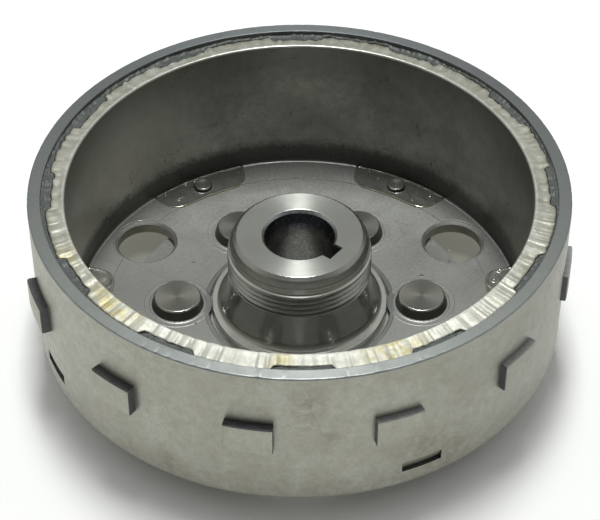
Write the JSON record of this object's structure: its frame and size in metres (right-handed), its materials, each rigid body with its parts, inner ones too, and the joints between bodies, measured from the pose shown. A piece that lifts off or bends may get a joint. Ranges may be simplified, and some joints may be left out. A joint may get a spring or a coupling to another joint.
{
  "type": "alternator flywheel",
  "caption": "Cup-shaped alternator flywheel with a riveted taper hub, arc magnets under a thin sleeve, and timing pads round the outside.",
  "frame": {"origin": "on the crankshaft axis, in the plane of the hub flange's back face, which is the lowest face", "axes": "+Z along the crankshaft axis, out of the cup's open side towards the hub's nose; +X through one of the six locating studs, 38 degrees from the keyway"},
  "size_m": [0.1318, 0.1318, 0.0482],
  "materials": {
    "cup_steel": "satin",
    "hub_steel": "turned",
    "rivet_steel": "satin",
    "sleeve_steel": "satin",
    "clear_resin": "gloss",
    "potting": "satin",
    "magnet_ferrite": "matte",
    "spacer_plastic": "matte"
  },
  "bodies": {
    "root": {"yoke_cup": "cup_steel", "hub": "hub_steel", "hub_rivets": "rivet_steel", "magnet_sleeve": "sleeve_steel", "window_resin": "clear_resin", "locating_studs": "rivet_steel", "magnet_spacer_ring": "spacer_plastic", "potting_resin": "potting", "magnet_01": "magnet_ferrite", "magnet_02": "magnet_ferrite", "magnet_03": "magnet_ferrite", "magnet_04": "magnet_ferrite", "magnet_05": "magnet_ferrite", "magnet_06": "magnet_ferrite", "magnet_07": "magnet_ferrite", "magnet_08": "magnet_ferrite", "magnet_09": "magnet_ferrite", "magnet_10": "magnet_ferrite", "magnet_11": "magnet_ferrite", "magnet_12": "magnet_ferrite"}
  },
  "joints": []
}
